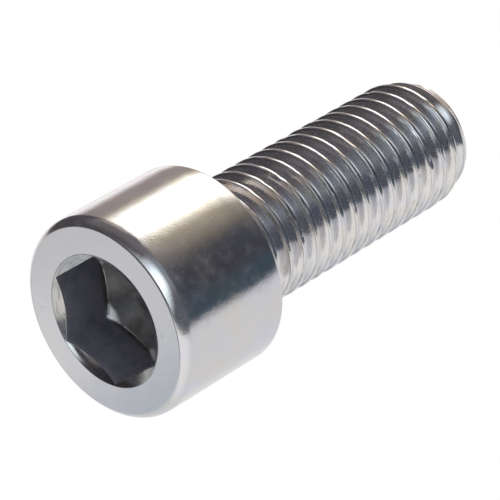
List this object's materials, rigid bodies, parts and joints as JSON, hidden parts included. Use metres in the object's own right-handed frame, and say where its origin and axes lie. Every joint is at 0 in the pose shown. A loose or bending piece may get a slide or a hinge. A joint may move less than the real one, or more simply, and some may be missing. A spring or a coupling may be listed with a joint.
{
  "type": "hex socket cap screw",
  "caption": "Hex socket cap screw with a smooth cylindrical head, a hexagonal socket and a coarse metric thread that runs up to the head.",
  "frame": {"origin": "centre of the head's flat face, on which the screw stands", "axes": "+Z along the screw's axis from the head's flat face towards the tip, +X through a corner of the hexagonal socket"},
  "size_m": [0.018, 0.018, 0.042],
  "materials": {
    "steel": "bright, smooth, with fine rolling and handling marks"
  },
  "bodies": {
    "root": {"cap_screw": "steel"}
  },
  "joints": []
}
